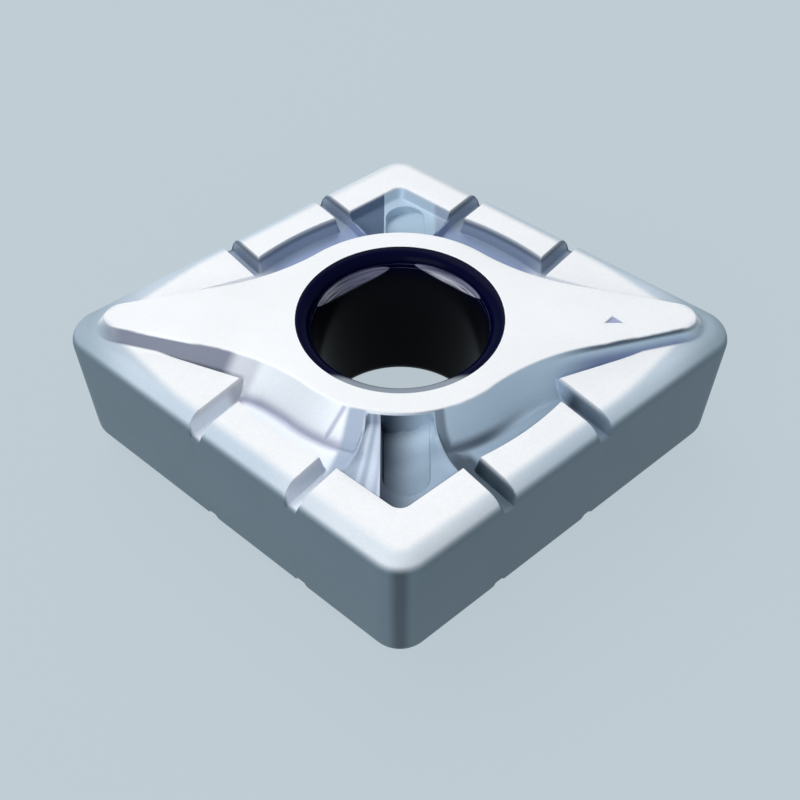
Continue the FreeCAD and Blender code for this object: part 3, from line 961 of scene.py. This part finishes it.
    # Lands; shoulders, flanks and blunt corners in painted shade; worn edges
    turned = colour(fade(aside, 8.8, 11.2), finish.shoulder_painted_shade, finish.tip_painted_shade)
    turned = colour(fade(aside, 5.0, 1.5) * 0.4, turned, finish.land_colour)
    widened = rim - fade(aside, 7.0, 10.5) * (0.5 * MM)
    land = colour(fade(widened, 0.8, 0.42), finish.land_colour, turned)
    base = colour(cut, land, base)
    worn = fade(abs(plateau), 0.07, 0.01) * ramp(skin["Cloud"], 0.42, 0.56)
    base = colour(worn, base, finish.worn_colour)
    # Flanks in painted shade, with a darker painted line down the blunt corners
    flank = fade(rim, 0.2, 0.02)
    nose = colour(fade(aside, 0.42, 0.05), finish.flank_painted_shade, finish.nose_painted_shade)
    base = colour(flank, base, nose)
    base = colour(ramp(nodes.field("marked"), 0.1, 0.9), base, finish.mark_colour)

    # The metal's skin
    tone = number(skin["Cloud"], 0.93, 1.05) * number(skin["Grain"], 0.93, 1.07)
    tone = tone * number(flank, 1.0, number(skin["Lines"], 0.88, 1.12))
    base = put(nodes.tree, "ShaderNodeMix", {0: 1.0, 6: base, 7: tone},
               data_type="RGBA", blend_type="MULTIPLY").outputs[2]
    metal = number(flank, number(cut, 0.08, 0.35), 0.4)
    rough = number(flank, number(cut, 0.5, 0.38), 0.46)
    rough = rough + skin["Lines"] * 0.08 - worn * 0.12
    nodes.finish(base, metal, rough, skin["Lines"] + skin["Grain"], 0.0014 * MM)
    return material


def bore_material(finish):
    """Glossy near-black coating, with two painted highlights below the upper mouth and a painted
    sheen at the front of the mouth.
    """
    material = bpy.data.materials.new("coated_bore")
    nodes = Blend(material)
    colour, ramp, fade = nodes.colour, nodes.ramp, nodes.fade
    skin = nodes.skin((900.0, 900.0, 9000.0))
    below = HIGHEST.z - nodes.z
    turn = calculate("ARCTAN2", nodes.y, nodes.x)

    def painted_streak(first, last, ends, middle, thick):
        """A leaf-shaped painted highlight between two angles, with the places along and across it.
        """
        centre, half = math.radians((first + last) / 2), math.radians((last - first) / 2)
        away = (turn - centre) / half
        room = most(1.0 - away * away, 0.001)
        off = below - (room * (middle - ends) + ends)
        off = off / (calculate("POWER", room, 0.7) * (thick / 2))
        return ramp(abs(off), 1.0, 0.6), away, off

    # Two painted highlights on the far wall, below the upper mouth
    left, left_along, _ = painted_streak(97, 160, 0.6 * MM, 0.84 * MM, 0.9 * MM)
    right, right_along, right_off = painted_streak(24, 80, 0.42 * MM, 0.66 * MM, 0.66 * MM)
    left_bright = left * ramp(left_along, -0.1, 0.7)
    right_bright = right * ramp(right_off, -0.3, 0.3) * ramp(right_along, 1.0, 0.2)
    drawn = ramp(skin["Lines"], 0.3, 0.62)
    painted_sheen_mask = most(left, right) * nodes.number(drawn, 0.35, 0.9)
    bright = most(left_bright, right_bright) * drawn
    # A painted sheen on the front of the mouth
    front_sheen = fade(nodes.field("bore"), 0.1, 0.24) * fade(nodes.y, -2.75, -3.1)
    base = colour(fade(below, 1.3, 0.4), finish.bore_colour, finish.mouth_colour)
    base = colour(painted_sheen_mask, base, colour(bright, finish.bore_painted_sheen, finish.bore_painted_highlight))
    base = colour(front_sheen, base, finish.mouth_painted_sheen)
    rough = nodes.number(painted_sheen_mask, 0.2, 0.45)
    nodes.finish(base, 0.0, rough, skin["Grain"], 0.0006 * MM, gloss=0.035)
    return material


def seen_rays(tree):
    """Whether a ray shows the backdrop, to the camera or in metal and glass."""
    path = put(tree, "ShaderNodeLightPath").outputs
    reflected = most(Term(path["Is Glossy Ray"]), Term(path["Is Transmission Ray"]))
    return most(Term(path["Is Camera Ray"]), reflected)


def floor_material(studio):
    """Pale floor that keeps a soft shadow and otherwise shows its own colour."""
    material = bpy.data.materials.new("floor")
    tree = emptied(material)
    floor_colour = (*studio.floor_colour, 1)
    matt = put(tree, "ShaderNodeBsdfDiffuse", {"Color": floor_colour})
    glow = put(tree, "ShaderNodeEmission", {"Color": floor_colour, "Strength": 1.0})
    both = put(tree, "ShaderNodeMixShader", {
        0: seen_rays(tree) * studio.floor_glow, 1: matt.outputs[0], 2: glow.outputs[0],
    })
    put(tree, "ShaderNodeOutputMaterial", {"Surface": both.outputs[0]})
    return material


def studio_world(studio):
    """Soft light from all round, brighter on the left, behind a backdrop of the floor's colour."""
    world = bpy.data.worlds.new("studio")
    tree = emptied(world)
    direction = put(tree, "ShaderNodeTexCoord").outputs["Generated"]
    side = put(tree, "ShaderNodeSeparateXYZ", {0: direction}).outputs["X"]
    level = put(tree, "ShaderNodeMapRange", {
        0: side, 1: -0.5, 2: 0.5, 3: studio.sky_bright, 4: studio.sky_dim,
    }, interpolation_type="SMOOTHSTEP")
    sky, backdrop = (
        put(tree, "ShaderNodeBackground", {"Color": (*tint, 1), "Strength": strength}).outputs[0]
        for tint, strength in ((studio.sky_colour, level.outputs[0]), (studio.floor_colour, 1.0))
    )
    both = put(tree, "ShaderNodeMixShader", {0: seen_rays(tree), 1: sky, 2: backdrop})
    put(tree, "ShaderNodeOutputWorld", {"Surface": both.outputs[0]})
    return world


# Operators

class InsertMould(bpy.types.Operator):
    """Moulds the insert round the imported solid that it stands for"""

    bl_idname = "insert.mould"
    bl_label = "Mould Insert"

    def execute(self, context):
        sizes = context.scene.insert_sizes
        plan = draw_plan(sizes)
        piece = bpy.data.objects.new("moulded_insert", plan)
        context.scene.collection.objects.link(piece)
        tree = moulding_tree()
        modifier = piece.modifiers.new("mould", "NODES")
        modifier.node_group = tree
        given = {name: getattr(sizes, name) for name in MOULD_INPUTS} | SET_INPUTS
        given["face_material"] = face_material(context.scene.insert_finish, sizes)
        given["bore_material"] = bore_material(context.scene.insert_finish)
        for item in tree.interface.items_tree:
            if item.in_out == "INPUT" and item.name in given:
                modifier[item.identifier] = given[item.name]
        evaluated = piece.evaluated_get(context.evaluated_depsgraph_get())
        mesh = bpy.data.meshes.new_from_object(evaluated)
        piece.modifiers.clear()
        piece.data = mesh
        shape = bmesh.new()
        shape.from_mesh(mesh)
        bmesh.ops.recalc_face_normals(shape, faces=shape.faces)
        for edge in shape.edges:
            edge.smooth = edge.calc_face_angle(0) < CRISP
        open_edges = sum(not edge.is_manifold for edge in shape.edges)
        shape.to_mesh(mesh)
        shape.free()
        if open_edges:
            raise RuntimeError(f"{open_edges} edges of the moulded insert are open")
        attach(piece, "root")
        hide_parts(NODE)
        return {"FINISHED"}


class InsertStage(bpy.types.Operator):
    """Sets the floor, the light and the camera"""

    bl_idname = "insert.stage"
    bl_label = "Set Stage"

    def execute(self, context):
        studio = context.scene.insert_studio
        scene = context.scene
        scene.view_settings.view_transform = "Standard"

        floor_mesh = bpy.data.meshes.new("floor")
        corners = ((-1, -1), (1, -1), (1, 1), (-1, 1))
        floor_mesh.from_pydata(
            [(x * FLOOR_REACH, y * FLOOR_REACH, 0) for x, y in corners], [], [range(4)]
        )
        floor = bpy.data.objects.new("floor", floor_mesh)
        scene.collection.objects.link(floor)
        floor_mesh.materials.append(floor_material(studio))
        scene.world = studio_world(studio)

        for name, panel in PANELS.items():
            light = bpy.data.lights.new(name, "AREA")
            light.shape = "RECTANGLE"
            light.size, light.size_y = panel["size"]
            light.energy = getattr(studio, name) * math.pi * light.size * light.size_y
            lamp = bpy.data.objects.new(name, light)
            lamp.location = panel["place"]
            lamp.rotation_euler = (-lamp.location).to_track_quat("-Z", "Y").to_euler()
            scene.collection.objects.link(lamp)

        lens = bpy.data.cameras.new("camera")
        lens.lens = studio.focal_ratio * lens.sensor_width
        lens.clip_start = 1 * MM
        camera = bpy.data.objects.new("camera", lens)
        sine, cosine = math.sin(studio.view_elevation), math.cos(studio.view_elevation)
        aim = Vector((0, 0, HIGHEST.z))
        camera.location = aim - Vector((0, cosine, -sine)) * studio.view_distance
        camera.location -= Vector((0, sine, cosine)) * studio.view_rise
        camera.rotation_euler = (math.pi / 2 - studio.view_elevation, 0, 0)
        scene.collection.objects.link(camera)
        scene.camera = camera
        return {"FINISHED"}


class InsertPanel(bpy.types.Panel):
    """Lists the steps that make the insert and its stage."""

    bl_idname = "VIEW3D_PT_insert"
    bl_label = "Turning Insert"
    bl_space_type = "VIEW_3D"
    bl_region_type = "UI"
    bl_category = "Insert"

    def draw(self, context):
        self.layout.operator(InsertMould.bl_idname)
        self.layout.operator(InsertStage.bl_idname)
        for group in ("insert_sizes", "insert_finish", "insert_studio"):
            settings = getattr(context.scene, group)
            for name in settings.__annotations__:
                self.layout.prop(settings, name)


GROUPS = {"insert_sizes": InsertSizes, "insert_finish": InsertFinish, "insert_studio": StudioSetup}
CLASSES = (*GROUPS.values(), InsertMould, InsertStage, InsertPanel)


def register():
    """Makes the classes and their settings known to Blender."""
    for item in CLASSES:
        bpy.utils.register_class(item)
    for name, group in GROUPS.items():
        setattr(bpy.types.Scene, name, bpy.props.PointerProperty(type=group))


def unregister():
    """Takes them away again."""
    for name in GROUPS:
        delattr(bpy.types.Scene, name)
    for item in reversed(CLASSES):
        bpy.utils.unregister_class(item)


def main():
    """Makes every piece."""
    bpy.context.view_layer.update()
    register()
    bpy.ops.insert.mould()
    bpy.ops.insert.stage()


if __name__ == "__main__":
    main()
